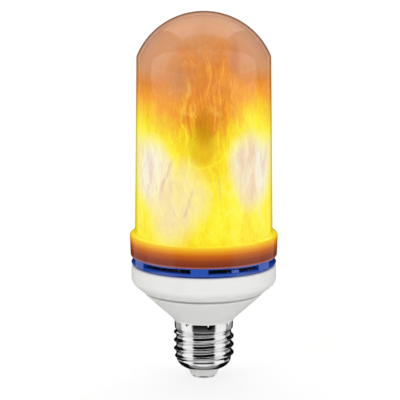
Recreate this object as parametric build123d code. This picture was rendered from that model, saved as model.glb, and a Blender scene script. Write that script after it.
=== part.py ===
"""Flame effect LED bulb with an E27 screw cap.

Millimetres, upright with the dome at +Z, turned about Z. The cap's centre contact
lies on z = 0 and the front of the bulb faces -Y.
"""

import os
from math import ceil, cos, degrees, radians, sqrt, tan

from build123d import *

# Fits
SLIDE_FIT = 0.1  # between pieces pushed together
LOOSE_FIT = 0.2  # between pieces dropped or threaded in
SOLDER = 0.02  # under a soldered piece
EDGE = 0.4  # rounding of moulded edges

# Screw cap, sizes of the E27 standard
THREAD_DIAMETER = 26.2
THREAD_PITCH = 3.629
THREAD_DEPTH = 1.1
THREAD_LENGTH = 13.3
THREAD_START_ANGLE = 58.0  # degrees round Z of the crest at the foot of the thread
THREAD_SECTIONS = 12  # of the loft in one turn
THREAD_NECK = 0.25  # depth of the plain necks at both ends below the thread's root
CAP_SHEET = 0.5
CAP_MOUTH_DIAMETER = 14.6
CAP_LIP_WIDTH = 1.0
CAP_SHOULDER_HEIGHT = 3.4
CAP_SHOULDER_ROUNDING = 0.8
CAP_FLARE_HEIGHT = 0.9
CAP_COLLAR_STEP = 0.3  # of the collar inside the thread's crests
CAP_COLLAR_HEIGHT = 3.45

# Insulator and contact under the cap
CONTACT_DIAMETER = 9.6
CONTACT_THICKNESS = 0.8
CONTACT_STEM_DIAMETER = 2.6
CONTACT_STEM_LENGTH = 4.6
CONTACT_ROUNDING = 0.3
INSULATOR_DROP = 3.4
INSULATOR_END_DIAMETER = 11.0
INSULATOR_FLANGE_HEIGHT = 2.4
INSULATOR_ROUNDING = 0.4

# Lower housing: cone with the neck that carries the cap
NECK_RISE = 2.5  # of the neck's end above the foot of the thread
NECK_WALL = 1.9
CONE_LIP_STEP = 0.35  # of the cone's lip outside the cap's collar
CONE_LIP_HEIGHT = 0.6
CONE_HEIGHT = 11.55
CONE_WALL = 2.0
SEAM_HEIGHT = 1.2
SEAM_DEPTH = 2.2
SPIGOT_STEP = 4.9  # of the spigot inside the cone's top
SPIGOT_HEIGHT = 4.5
SPIGOT_WALL = 1.8

# Upper housing: bowl on the cone
HOUSING_DIAMETER = 63.0
HOUSING_HEIGHT = 11.3
HOUSING_WALL = 2.0
BOWL_STEP = 4.6  # of the bowl's lower edge inside the housing
BOWL_OVERHANG = 1.0  # of that edge over the cone's top
BOWL_SLOPE = 51.0  # degrees from upright
BOWL_ROUNDING = 4.5
BOWL_RIM_ROUNDING = 1.0
BOWL_FLOOR = 2.0
POST_DIAMETER = 5.2
POST_GAP = 0.4  # to the vent ring
POST_COUNT = 3

# Vent ring
VENT_RING_HEIGHT = 4.6
VENT_JOINT_DEPTH = 3.0
VENT_JOINT_WALL = 1.6
VENT_FOOT_HEIGHT = 1.0
VENT_FOOT_DEPTH = 1.6
VENT_SLOT_COUNT = 6
VENT_SLOT_HEIGHT = 2.1
VENT_SLOT_SILL = 1.9  # height of the slot's floor above the housing rim
VENT_SILL_SLOPE = 0.7
VENT_PAD_WIDTH = 7.8
VENT_FIRST_PAD = -93.5  # degrees round Z of the pad at the front
LATCH_WIDTH = 3.6
LATCH_HEIGHT = 1.3
LATCH_DEPTH = 0.9  # of its face inside the ring's
LATCH_COUNT = 3

# Diffuser: domed tube over a wider skirt
SKIRT_STEP = 0.35  # of the skirt's foot outside the housing
SKIRT_HEIGHT = 9.5
SKIRT_DRAFT = 2.3  # degrees
SKIRT_ROUNDING = 1.3
SHOULDER_WIDTH = 2.3  # from the skirt's top in to the tube
FOOT_ROUNDING = 0.8  # between skirt and tube
TUBE_LENGTH = 77.9
TUBE_DRAFT = 0.48  # degrees
DOME_HEIGHT = 19.65
DOME_RIM_ROUNDING = 2.5
DIFFUSER_WALL = 1.6

# Plate that carries the LED cylinder
PLATE_THICKNESS = 2.0
PLATE_HOLE_DIAMETER = 12.0
PLATE_COLLAR_HEIGHT = 4.0
PLATE_COLLAR_WALL = 1.5
SCREW_DIAMETER = 2.2
SCREW_LENGTH = 8.0
SCREW_HEAD_DIAMETER = 3.8
SCREW_HEAD_HEIGHT = 1.6
SCREW_RECESS_WIDTH = 0.7

# LED cylinder
FORMER_GAP = 5.5  # from the former to the inside of the tube's rim
FORMER_WALL = 1.5
FORMER_DROP = 3.4  # of the former's top below the tube's rim
BOARD_FOIL = 0.4
BOARD_MARGIN = 1.0
BOARD_SEAM_ANGLE = 4.0
LED_COLUMNS = 12
LED_ROWS = 8
LED_WIDTH = 2.8
LED_LENGTH = 3.5
LED_THICKNESS = 0.8
FORMER_CAP_THICKNESS = 2.4
FORMER_CAP_ROUNDING = 2.0
FORMER_CAP_PLUG = 4.0

# Driver board, upright in the neck
DRIVER_HEADROOM = 8.4  # under the plate
DRIVER_THICKNESS = 1.6
GROOVE_DEPTH = 1.25
GROOVE_FLOOR = 1.0
COMPONENT_SPACE = 2.0
BULK_DIAMETER = 10.0
BULK_LENGTH = 14.0
FILTER_WIDTH = 11.0
FILTER_HEIGHT = 8.0
FILTER_DEPTH = 5.0
CHOKE_DIAMETER = 7.6
CHOKE_LENGTH = 8.0
CHOKE_FLANGE = 1.2
CHOKE_CORE_DIAMETER = 3.4
CHOKE_WINDING_RECESS = 0.4
BRIDGE_SIZE = (4.7, 2.5, 4.0)
DRIVER_CHIP_SIZE = (4.9, 1.6, 3.9)
CONTROLLER_SIZE = (8.6, 1.6, 3.9)
RESISTOR_DIAMETER = 3.2
RESISTOR_LENGTH = 9.0
LEAD_DIAMETER = 1.1
LEAD_BEND = 1.5
LIVE_X = -4.5
NEUTRAL_X = 4.5
LED_LEAD_X = 3.5
LED_LEAD_RISE = 6.6  # of the LED leads' holes above the plate
LED_PAD_LENGTH = 6.0
PAD_LENGTH = 3.0
NOTCH_LENGTH = 8.0

# Levels, from the contact up
INSULATOR_BOTTOM = CONTACT_THICKNESS
CAP_BOTTOM = INSULATOR_BOTTOM + INSULATOR_DROP
ROOT_BOTTOM = CAP_BOTTOM + CAP_SHOULDER_HEIGHT
ROOT_TOP = ROOT_BOTTOM + THREAD_LENGTH
COLLAR_BOTTOM = ROOT_TOP + CAP_FLARE_HEIGHT
CAP_TOP = COLLAR_BOTTOM + CAP_COLLAR_HEIGHT
NECK_BOTTOM = ROOT_BOTTOM + NECK_RISE
CONE_BOTTOM = CAP_TOP + CONE_LIP_HEIGHT
CONE_TOP = CONE_BOTTOM + CONE_HEIGHT
HOUSING_BOTTOM = CONE_TOP + SEAM_HEIGHT
HOUSING_TOP = HOUSING_BOTTOM + HOUSING_HEIGHT
DIFFUSER_BOTTOM = HOUSING_TOP + VENT_RING_HEIGHT
PLATE_BOTTOM = DIFFUSER_BOTTOM + VENT_JOINT_DEPTH
PLATE_TOP = PLATE_BOTTOM + PLATE_THICKNESS
SHOULDER_TOP = DIFFUSER_BOTTOM + SKIRT_HEIGHT
DOME_RIM = SHOULDER_TOP + TUBE_LENGTH
FORMER_TOP = DOME_RIM - FORMER_DROP
DRIVER_BOTTOM = NECK_BOTTOM + GROOVE_FLOOR
DRIVER_TOP = PLATE_BOTTOM - DRIVER_HEADROOM
BOARD_BOTTOM = PLATE_TOP + BOARD_MARGIN
BOARD_TOP = FORMER_TOP - BOARD_MARGIN
LED_LEAD_LEVEL = PLATE_TOP + LED_LEAD_RISE
LIVE_TOP = DRIVER_BOTTOM + PAD_LENGTH
NEUTRAL_TOP = NECK_BOTTOM + NOTCH_LENGTH
BULK_LEVEL = DRIVER_TOP - BULK_DIAMETER / 2 - COMPONENT_SPACE
CHOKE_LEVEL = BULK_LEVEL - BULK_DIAMETER / 2 - COMPONENT_SPACE - CHOKE_DIAMETER / 2
CONTROLLER_LEVEL = BULK_LEVEL - FILTER_HEIGHT / 2 - COMPONENT_SPACE - CONTROLLER_SIZE[2] / 2
DRIVER_CHIP_LEVEL = CONTROLLER_LEVEL - CONTROLLER_SIZE[2] / 2 - COMPONENT_SPACE - DRIVER_CHIP_SIZE[2] / 2
BRIDGE_LEVEL = DRIVER_CHIP_LEVEL - DRIVER_CHIP_SIZE[2] / 2 - 2 * COMPONENT_SPACE - BRIDGE_SIZE[2] / 2

# Radii that several pieces share
ROOT_RADIUS = THREAD_DIAMETER / 2 - THREAD_DEPTH
LIP_RADIUS = CAP_MOUTH_DIAMETER / 2 + CAP_LIP_WIDTH
CAP_NECK = ROOT_RADIUS - THREAD_NECK
CAP_BORE = CAP_NECK - CAP_SHEET
NECK_RADIUS = CAP_BORE - LOOSE_FIT
NECK_BORE = NECK_RADIUS - NECK_WALL
COLLAR_RADIUS = THREAD_DIAMETER / 2 - CAP_COLLAR_STEP
COLLAR_BORE = COLLAR_RADIUS - CAP_SHEET
HOUSING_RADIUS = HOUSING_DIAMETER / 2
HOUSING_BORE = HOUSING_RADIUS - HOUSING_WALL
BOWL_EDGE = HOUSING_RADIUS - BOWL_STEP
CONE_TOP_RADIUS = BOWL_EDGE - BOWL_OVERHANG
SPIGOT_RADIUS = CONE_TOP_RADIUS - SPIGOT_STEP
SKIRT_FOOT_RADIUS = HOUSING_RADIUS + SKIRT_STEP
SKIRT_BORE = SKIRT_FOOT_RADIUS - DIFFUSER_WALL
SKIRT_TOP_RADIUS = SKIRT_FOOT_RADIUS + SKIRT_HEIGHT * tan(radians(SKIRT_DRAFT))
TUBE_FOOT_RADIUS = SKIRT_TOP_RADIUS - SHOULDER_WIDTH
TUBE_RIM_RADIUS = TUBE_FOOT_RADIUS - TUBE_LENGTH * tan(radians(TUBE_DRAFT))
VENT_BORE = HOUSING_BORE - SLIDE_FIT - VENT_JOINT_WALL
POST_CIRCLE = VENT_BORE - POST_GAP - POST_DIAMETER / 2
PLATE_RADIUS = SKIRT_BORE - LOOSE_FIT
FORMER_RADIUS = TUBE_RIM_RADIUS - DIFFUSER_WALL - FORMER_GAP
FORMER_BORE = FORMER_RADIUS - FORMER_WALL
BOARD_BORE = FORMER_RADIUS + SLIDE_FIT / 2
BOARD_RADIUS = BOARD_BORE + BOARD_FOIL
DRIVER_EDGE = NECK_BORE + GROOVE_DEPTH - LOOSE_FIT
DRIVER_FACE = DRIVER_THICKNESS / 2
LEAD_RADIUS = LEAD_DIAMETER / 2
STEM_BORE = LEAD_RADIUS + SLIDE_FIT
PAD_Y = -DRIVER_FACE - LEAD_RADIUS - SOLDER
NEUTRAL_Y = -sqrt((CAP_BORE - LEAD_RADIUS - SLIDE_FIT) ** 2 - NEUTRAL_X**2)


def turned(*corners):
    """Solid of revolution from the (radius, height, rounding) corners of its section."""
    points = [(radius, height) for radius, height, rounding in corners]
    roundings = [rounding for radius, height, rounding in corners]
    section = make_face(FilletPolyline(*points, radius=roundings, close=True))
    return revolve(Plane.XZ * section, Axis.Z)


def post(radius, bottom, top):
    """Upright cylinder on the Z axis between two levels."""
    return Pos(0, 0, bottom) * Cylinder(radius, top - bottom, align=(Align.CENTER, Align.CENTER, Align.MIN))


def around(piece, count, radius, first=0.0):
    """Copies of a piece, evenly round a circle about Z."""
    return [Rot(0, 0, first + 360 * i / count) * Pos(radius, 0, 0) * piece for i in range(count)]


def sector(section, angle, middle):
    """A section in the (radius, height) plane, turned through an angle about a middle direction."""
    return Rot(0, 0, middle - angle / 2) * revolve(Plane.XZ * section, Axis.Z, angle)


def lead(*points):
    """Insulated wire bent along points."""
    path = FilletPolyline(*points, radius=LEAD_BEND)
    return sweep(Plane(origin=path @ 0, z_dir=path % 0) * Circle(LEAD_RADIUS), path=path)


def thread_rod(radius):
    """Round thread: a circle half the thread depth off the axis, lofted once round Z per pitch."""
    height = COLLAR_BOTTOM - ROOT_BOTTOM
    steps = ceil(THREAD_SECTIONS * height / THREAD_PITCH)
    sections = []
    for step in range(steps + 1):
        rise = height * step / steps
        turn = THREAD_START_ANGLE + 360 * rise / THREAD_PITCH
        centre = Vector(THREAD_DEPTH / 2, 0, ROOT_BOTTOM + rise).rotate(Axis.Z, turn)
        sections.append(Pos(centre) * Circle(radius))
    return loft(sections)


def cap_form(inset):
    """Form of the cap, filled. Inset by the sheet it is the hollow inside."""
    slope = (CAP_NECK - LIP_RADIUS) / CAP_SHOULDER_HEIGHT
    shift = inset * sqrt(1 + slope**2)
    neck = CAP_NECK - inset
    collar = COLLAR_RADIUS - inset
    rounding = max(CAP_SHOULDER_ROUNDING - inset, 0)
    blank = turned(
        (0, CAP_BOTTOM + inset, 0),
        (LIP_RADIUS - shift + slope * inset, CAP_BOTTOM + inset, rounding),
        (neck, ROOT_BOTTOM + (shift - inset) / slope, rounding),
        (neck, ROOT_TOP, 0),
        (collar, COLLAR_BOTTOM, 0),
        (collar, CAP_TOP, 0),
        (0, CAP_TOP, 0),
    )
    buried = neck - THREAD_NECK
    fade = THREAD_DEPTH + 3 * THREAD_NECK
    limits = turned(
        (0, ROOT_BOTTOM, 0),
        (buried, ROOT_BOTTOM, 0),
        (buried + fade, ROOT_BOTTOM + fade, 0),
        (buried + fade, ROOT_TOP - fade / 2, 0),
        (buried, ROOT_TOP + fade / 2, 0),
        (0, ROOT_TOP + fade / 2, 0),
    )
    return blank + (limits & thread_rod(ROOT_RADIUS + THREAD_DEPTH / 2 - inset))


def screw_shell():
    """Drawn nickel-plated sheet: drawn-in shoulder with its mouth, rolled thread, plain collar."""
    mouth = post(CAP_MOUTH_DIAMETER / 2, CAP_BOTTOM, CAP_BOTTOM + CAP_SHEET)
    return cap_form(0) - cap_form(CAP_SHEET) - mouth


def cap_insulator():
    """Tapered insulator through the cap's mouth, with a flange that rests inside on its lip."""
    hole = CONTACT_STEM_DIAMETER / 2 + SLIDE_FIT
    through = CAP_MOUTH_DIAMETER / 2 - LOOSE_FIT
    flange = LIP_RADIUS - CAP_SHEET
    flange_bottom = CAP_BOTTOM + CAP_SHEET
    flange_top = flange_bottom + INSULATOR_FLANGE_HEIGHT
    flare = INSULATOR_FLANGE_HEIGHT * (CAP_NECK - LIP_RADIUS) / CAP_SHOULDER_HEIGHT
    return turned(
        (hole, INSULATOR_BOTTOM, 0),
        (INSULATOR_END_DIAMETER / 2, INSULATOR_BOTTOM, INSULATOR_ROUNDING),
        (through, CAP_BOTTOM, 0),
        (through, flange_bottom, 0),
        (flange, flange_bottom, 0),
        (flange + flare, flange_top, 0),
        (hole, flange_top, 0),
    )


def centre_contact():
    """Flat contact with a hollow stem that takes the live lead."""
    stem = CONTACT_STEM_DIAMETER / 2
    stem_top = CONTACT_THICKNESS + CONTACT_STEM_LENGTH
    return turned(
        (0, 0, 0),
        (CONTACT_DIAMETER / 2, 0, CONTACT_ROUNDING),
        (CONTACT_DIAMETER / 2, CONTACT_THICKNESS, 0),
        (stem, CONTACT_THICKNESS, 0),
        (stem, stem_top, 0),
        (STEM_BORE, stem_top, 0),
        (STEM_BORE, CONTACT_THICKNESS, 0),
        (0, CONTACT_THICKNESS, 0),
    )


def lower_housing():
    """Cone with a spigot into the bowl above and a neck into the cap below."""
    lip = COLLAR_RADIUS + CONE_LIP_STEP
    slope = (CONE_TOP_RADIUS - lip) / CONE_HEIGHT
    inner_lip = lip - CONE_WALL * sqrt(1 + slope**2)
    spigot_bore = SPIGOT_RADIUS - SPIGOT_WALL
    spigot_top = HOUSING_BOTTOM + SPIGOT_HEIGHT
    collar_seat = COLLAR_BORE - LOOSE_FIT
    moulding = turned(
        (NECK_BORE, NECK_BOTTOM, 0),
        (NECK_RADIUS, NECK_BOTTOM, EDGE),
        (NECK_RADIUS, ROOT_TOP, 0),
        (collar_seat, COLLAR_BOTTOM, 0),
        (collar_seat, CAP_TOP, 0),
        (lip, CAP_TOP, EDGE / 2),
        (lip, CONE_BOTTOM, EDGE / 2),
        (CONE_TOP_RADIUS, CONE_TOP, EDGE / 2),
        (CONE_TOP_RADIUS - SEAM_DEPTH, CONE_TOP, EDGE / 2),
        (CONE_TOP_RADIUS - SEAM_DEPTH, HOUSING_BOTTOM, 0),
        (SPIGOT_RADIUS, HOUSING_BOTTOM, 0),
        (SPIGOT_RADIUS, spigot_top, EDGE),
        (spigot_bore, spigot_top, EDGE),
        (spigot_bore, CONE_BOTTOM + (spigot_bore - inner_lip) / slope, 0),
        (NECK_BORE, CONE_BOTTOM + (NECK_BORE - inner_lip) / slope, 0),
    )
    board_grooves = Pos(0, 0, (DRIVER_BOTTOM + DRIVER_TOP) / 2) * Box(
        2 * (DRIVER_EDGE + LOOSE_FIT), DRIVER_THICKNESS + 2 * SLIDE_FIT, DRIVER_TOP - DRIVER_BOTTOM
    )
    notch = post(LEAD_RADIUS + SLIDE_FIT, NECK_BOTTOM, NEUTRAL_TOP + LOOSE_FIT)
    return moulding - board_grooves - Pos(NEUTRAL_X, NEUTRAL_Y, 0) * notch


def upper_housing():
    """Bowl over the cone's spigot, with posts for the plate's screws."""
    slope = tan(radians(BOWL_SLOPE))
    inner_edge = BOWL_EDGE - HOUSING_WALL / cos(radians(BOWL_SLOPE))
    floor_top = HOUSING_BOTTOM + BOWL_FLOOR
    floor_bore = SPIGOT_RADIUS + SLIDE_FIT
    bowl = turned(
        (floor_bore, HOUSING_BOTTOM, 0),
        (BOWL_EDGE, HOUSING_BOTTOM, EDGE),
        (HOUSING_RADIUS, HOUSING_BOTTOM + BOWL_STEP / slope, BOWL_ROUNDING),
        (HOUSING_RADIUS, HOUSING_TOP, BOWL_RIM_ROUNDING),
        (HOUSING_BORE, HOUSING_TOP, 0),
        (HOUSING_BORE, HOUSING_BOTTOM + (HOUSING_BORE - inner_edge) / slope, BOWL_ROUNDING - HOUSING_WALL),
        (inner_edge + BOWL_FLOOR * slope, floor_top, 0),
        (floor_bore, floor_top, 0),
    )
    pilot = post(SCREW_DIAMETER / 2 + SLIDE_FIT, PLATE_TOP - SCREW_LENGTH - LOOSE_FIT, PLATE_BOTTOM)
    screw_post = post(POST_DIAMETER / 2, floor_top, PLATE_BOTTOM) - pilot
    return bowl + around(screw_post, POST_COUNT, POST_CIRCLE, VENT_FIRST_PAD)


def vent_ring():
    """Ring pushed into the housing and the diffuser, with slots between pads and latches in some."""
    foot = HOUSING_RADIUS - VENT_FOOT_DEPTH
    ring = turned(
        (VENT_BORE, HOUSING_TOP - VENT_JOINT_DEPTH, 0),
        (HOUSING_BORE - SLIDE_FIT, HOUSING_TOP - VENT_JOINT_DEPTH, EDGE),
        (HOUSING_BORE - SLIDE_FIT, HOUSING_TOP, 0),
        (foot, HOUSING_TOP, 0),
        (foot, HOUSING_TOP + VENT_FOOT_HEIGHT, 0),
        (HOUSING_RADIUS, HOUSING_TOP + VENT_FOOT_HEIGHT, EDGE / 2),
        (HOUSING_RADIUS, DIFFUSER_BOTTOM, EDGE / 2),
        (SKIRT_BORE - SLIDE_FIT, DIFFUSER_BOTTOM, 0),
        (SKIRT_BORE - SLIDE_FIT, PLATE_BOTTOM, EDGE),
        (VENT_BORE, PLATE_BOTTOM, 0),
    )
    floor = HOUSING_TOP + VENT_SLOT_SILL
    roof = floor + VENT_SLOT_HEIGHT
    beyond = HOUSING_RADIUS + VENT_SILL_SLOPE
    slot = make_face(
        Polyline(
            (VENT_BORE - VENT_SILL_SLOPE, floor),
            (HOUSING_RADIUS - VENT_SILL_SLOPE, floor),
            (beyond, floor - 2 * VENT_SILL_SLOPE),
            (beyond, roof),
            (VENT_BORE - VENT_SILL_SLOPE, roof),
            close=True,
        )
    )
    pitch = 360 / VENT_SLOT_COUNT
    slot_angle = pitch - degrees(VENT_PAD_WIDTH / HOUSING_RADIUS)
    latch = make_face(
        Polyline(
            (VENT_BORE + EDGE, floor - EDGE),
            (HOUSING_RADIUS - LATCH_DEPTH, floor - EDGE),
            (HOUSING_RADIUS - LATCH_DEPTH, floor + LATCH_HEIGHT),
            (VENT_BORE + EDGE, floor + LATCH_HEIGHT),
            close=True,
        )
    )
    latch_angle = degrees(LATCH_WIDTH / HOUSING_RADIUS)
    middles = [VENT_FIRST_PAD + pitch * (i + 0.5) for i in range(VENT_SLOT_COUNT)]
    ring -= [sector(slot, slot_angle, middle) for middle in middles]
    ring += [sector(latch, latch_angle, middle) for middle in middles[:: VENT_SLOT_COUNT // LATCH_COUNT]]
    return ring


def bell(inset, skirt_rounding, foot_rounding, rim_rounding):
    """Form of the diffuser, filled. Inset by the wall it is the hollow inside."""
    dome_radius = (TUBE_RIM_RADIUS**2 + DOME_HEIGHT**2) / (2 * DOME_HEIGHT)
    centre = DOME_RIM + DOME_HEIGHT - dome_radius
    shoulder = SHOULDER_TOP - inset
    skirt_top = (SKIRT_TOP_RADIUS - inset, shoulder)
    tube_foot = (TUBE_FOOT_RADIUS - inset, shoulder)
    rim_radius = TUBE_RIM_RADIUS - inset
    rim = (rim_radius, centre + sqrt((dome_radius - inset) ** 2 - rim_radius**2))
    apex = (0, centre + dome_radius - inset)
    halfway = (rim_radius / 2, centre + sqrt((dome_radius - inset) ** 2 - rim_radius**2 / 4))
    skirt_foot = (SKIRT_FOOT_RADIUS - inset, DIFFUSER_BOTTOM)
    walls = Polyline(apex, (0, DIFFUSER_BOTTOM), skirt_foot, skirt_top, tube_foot, rim)
    section = make_face([*walls.edges(), ThreePointArc(rim, halfway, apex)])
    for corner, rounding in ((skirt_top, skirt_rounding), (tube_foot, foot_rounding), (rim, rim_rounding)):
        section = fillet(section.vertices().sort_by_distance(corner)[0], rounding)
    return revolve(Plane.XZ * section, Axis.Z)


def diffuser():
    """Translucent domed tube with a skirt, one moulding of even wall."""
    outside = bell(0, SKIRT_ROUNDING, FOOT_ROUNDING, DOME_RIM_ROUNDING)
    inside = bell(DIFFUSER_WALL, FOOT_ROUNDING, SKIRT_ROUNDING, DOME_RIM_ROUNDING - EDGE)
    return outside - inside


def base_plate():
    """Plate on the vent ring and the posts, with a collar that centres the LED cylinder."""
    hole = PLATE_HOLE_DIAMETER / 2
    collar = FORMER_BORE - SLIDE_FIT
    collar_top = PLATE_TOP + PLATE_COLLAR_HEIGHT
    plate = turned(
        (hole, PLATE_BOTTOM, 0),
        (PLATE_RADIUS, PLATE_BOTTOM, 0),
        (PLATE_RADIUS, PLATE_TOP, EDGE),
        (collar, PLATE_TOP, 0),
        (collar, collar_top, EDGE),
        (collar - PLATE_COLLAR_WALL, collar_top, EDGE),
        (collar - PLATE_COLLAR_WALL, PLATE_TOP, 0),
        (hole, PLATE_TOP, 0),
    )
    screw_hole = post(SCREW_DIAMETER / 2 + LOOSE_FIT, PLATE_BOTTOM, PLATE_TOP)
    return plate - around(screw_hole, POST_COUNT, POST_CIRCLE, VENT_FIRST_PAD)


def plate_screws():
    """Pan-head screws with cross recesses, through the plate into the posts."""
    head_top = PLATE_TOP + SCREW_HEAD_HEIGHT
    screw = turned(
        (0, PLATE_TOP - SCREW_LENGTH, 0),
        (SCREW_DIAMETER / 2, PLATE_TOP - SCREW_LENGTH, 0),
        (SCREW_DIAMETER / 2, PLATE_TOP, 0),
        (SCREW_HEAD_DIAMETER / 2, PLATE_TOP, 0),
        (SCREW_HEAD_DIAMETER / 2, head_top, SCREW_HEAD_HEIGHT / 2),
        (0, head_top, 0),
    )
    bar = Pos(0, 0, head_top) * Box(SCREW_HEAD_DIAMETER / 2, SCREW_RECESS_WIDTH, SCREW_HEAD_HEIGHT)
    screw = screw - bar - Rot(0, 0, 90) * bar
    return around(screw, POST_COUNT, POST_CIRCLE, VENT_FIRST_PAD)


def led_former():
    """Tube that the LED board is rolled on, with holes for the LED leads near its foot."""
    tube = post(FORMER_RADIUS, PLATE_TOP, FORMER_TOP) - post(FORMER_BORE, PLATE_TOP, FORMER_TOP)
    hole = Rot(-90, 0, 0) * post(LEAD_RADIUS + LOOSE_FIT, 0, 2 * FORMER_RADIUS)
    return tube - [Pos(side * LED_LEAD_X, 0, LED_LEAD_LEVEL) * hole for side in (-1, 1)]


def led_board():
    """Thin board rolled round the former, its ends meeting in a seam at the back."""
    strip = make_face(
        Polyline(
            (BOARD_BORE, BOARD_BOTTOM),
            (BOARD_RADIUS, BOARD_BOTTOM),
            (BOARD_RADIUS, BOARD_TOP),
            (BOARD_BORE, BOARD_TOP),
            close=True,
        )
    )
    return sector(strip, 360 - BOARD_SEAM_ANGLE, -90)


def leds():
    """LED packages in even rows and columns on the board."""
    package = Box(LED_THICKNESS, LED_WIDTH, LED_LENGTH)
    radius = BOARD_RADIUS + LED_THICKNESS / 2 + SOLDER
    pitch = (BOARD_TOP - BOARD_BOTTOM) / LED_ROWS
    first = -90 + 180 / LED_COLUMNS
    packages = []
    for row in range(LED_ROWS):
        level = BOARD_BOTTOM + pitch * (row + 0.5)
        packages += around(Pos(0, 0, level) * package, LED_COLUMNS, radius, first)
    return packages


def former_cap():
    """Lid plugged into the top of the former."""
    plug = FORMER_BORE - SLIDE_FIT
    top = FORMER_TOP + FORMER_CAP_THICKNESS
    return turned(
        (0, FORMER_TOP, 0),
        (plug - FORMER_WALL, FORMER_TOP, 0),
        (plug - FORMER_WALL, FORMER_TOP - FORMER_CAP_PLUG, EDGE),
        (plug, FORMER_TOP - FORMER_CAP_PLUG, EDGE),
        (plug, FORMER_TOP, 0),
        (BOARD_RADIUS, FORMER_TOP, 0),
        (BOARD_RADIUS, top, FORMER_CAP_ROUNDING),
        (0, top, 0),
    )


def on_driver(piece, x, level, side):
    """A component stood on the driver board's front (side -1) or back (side 1)."""
    return Pos(x, side * DRIVER_FACE, level) * Rot(-90 * side, 0, 0) * piece


def standing_box(size):
    """Box component by its width, depth off the board and height."""
    width, depth, height = size
    return Box(width, height, depth, align=(Align.CENTER, Align.CENTER, Align.MIN))


def driver_board():
    """Circuit board that stands in the grooves of the neck."""
    board = Box(2 * DRIVER_EDGE, DRIVER_THICKNESS, DRIVER_TOP - DRIVER_BOTTOM)
    return Pos(0, 0, (DRIVER_BOTTOM + DRIVER_TOP) / 2) * board


def bulk_capacitor():
    """Electrolytic capacitor with the rolled groove near its foot."""
    radius = BULK_DIAMETER / 2
    groove = BULK_LENGTH / 6
    can = turned(
        (0, 0, 0),
        (radius, 0, EDGE),
        (radius, groove - EDGE, 0),
        (radius - EDGE, groove, 0),
        (radius, groove + EDGE, 0),
        (radius, BULK_LENGTH, EDGE),
        (0, BULK_LENGTH, 0),
    )
    return on_driver(can, 0, BULK_LEVEL, -1)


def filter_capacitor():
    """Box film capacitor."""
    return on_driver(standing_box((FILTER_WIDTH, FILTER_DEPTH, FILTER_HEIGHT)), 0, BULK_LEVEL, 1)


def choke_core():
    """Ferrite spool of the choke."""
    flange = CHOKE_DIAMETER / 2
    spool = post(flange, 0, CHOKE_FLANGE)
    spool += post(flange, CHOKE_LENGTH - CHOKE_FLANGE, CHOKE_LENGTH)
    spool += post(CHOKE_CORE_DIAMETER / 2, 0, CHOKE_LENGTH)
    return on_driver(spool, 0, CHOKE_LEVEL, -1)


def choke_winding():
    """Copper winding between the spool's flanges."""
    bottom = CHOKE_FLANGE + SLIDE_FIT
    top = CHOKE_LENGTH - bottom
    winding = post(CHOKE_DIAMETER / 2 - CHOKE_WINDING_RECESS, bottom, top)
    winding -= post(CHOKE_CORE_DIAMETER / 2 + SLIDE_FIT, bottom, top)
    return on_driver(winding, 0, CHOKE_LEVEL, -1)


def bridge_rectifier():
    """Surface-mounted bridge rectifier in the neck."""
    return on_driver(standing_box(BRIDGE_SIZE), 0, BRIDGE_LEVEL, 1)


def driver_chip():
    """Constant-current driver chip."""
    return on_driver(standing_box(DRIVER_CHIP_SIZE), 0, DRIVER_CHIP_LEVEL, 1)


def flame_controller():
    """Controller chip that makes the LEDs flicker."""
    return on_driver(standing_box(CONTROLLER_SIZE), 0, CONTROLLER_LEVEL, 1)


def fusible_resistor():
    """Resistor that lies upright along the board, above the live pad."""
    body = post(RESISTOR_DIAMETER / 2, 0, RESISTOR_LENGTH)
    return Pos(LIVE_X, -DRIVER_FACE - RESISTOR_DIAMETER / 2, LIVE_TOP + LEAD_BEND) * body


def live_lead():
    """Wire from the contact's stem to the live pad of the driver board."""
    below = (NECK_BOTTOM + CAP_BOTTOM) / 2
    return lead(
        (0, 0, CONTACT_THICKNESS + SLIDE_FIT),
        (0, 0, below),
        (LIVE_X, PAD_Y, NECK_BOTTOM),
        (LIVE_X, PAD_Y, LIVE_TOP),
    )


def neutral_lead():
    """Wire from the neutral pad round the end of the neck, held against the screw shell."""
    below = NECK_BOTTOM - LEAD_DIAMETER
    return lead(
        (NEUTRAL_X, PAD_Y, LIVE_TOP),
        (NEUTRAL_X, PAD_Y, below),
        (NEUTRAL_X, NEUTRAL_Y, below),
        (NEUTRAL_X, NEUTRAL_Y, NEUTRAL_TOP),
    )


def led_lead(side):
    """Wire from the top of the driver board through the plate to the LED board."""
    board_x = side * (DRIVER_EDGE - LEAD_DIAMETER)
    return lead(
        (board_x, PAD_Y, DRIVER_TOP - LED_PAD_LENGTH),
        (board_x, PAD_Y, DRIVER_TOP + LEAD_BEND),
        (side * LED_LEAD_X, 0, PLATE_BOTTOM - LEAD_BEND),
        (side * LED_LEAD_X, 0, LED_LEAD_LEVEL),
        (side * LED_LEAD_X, sqrt(BOARD_BORE**2 - (LED_LEAD_X + LEAD_RADIUS) ** 2), LED_LEAD_LEVEL),
    )


def led_lead_positive():
    """Supply wire on the right."""
    return led_lead(1)


def led_lead_negative():
    """Return wire on the left."""
    return led_lead(-1)


PIECES = (
    centre_contact,
    cap_insulator,
    screw_shell,
    lower_housing,
    upper_housing,
    vent_ring,
    diffuser,
    base_plate,
    plate_screws,
    led_former,
    led_board,
    leds,
    former_cap,
    driver_board,
    bulk_capacitor,
    filter_capacitor,
    choke_core,
    choke_winding,
    bridge_rectifier,
    driver_chip,
    flame_controller,
    fusible_resistor,
    live_lead,
    neutral_lead,
    led_lead_positive,
    led_lead_negative,
)

os.makedirs("parts", exist_ok=True)
for make in PIECES:
    piece = make()
    solids = Compound(children=piece) if isinstance(piece, list) else piece
    export_step(solids, f"parts/{make.__name__}.step")
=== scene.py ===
"""Looks of the flame effect bulb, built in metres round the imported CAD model."""

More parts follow.
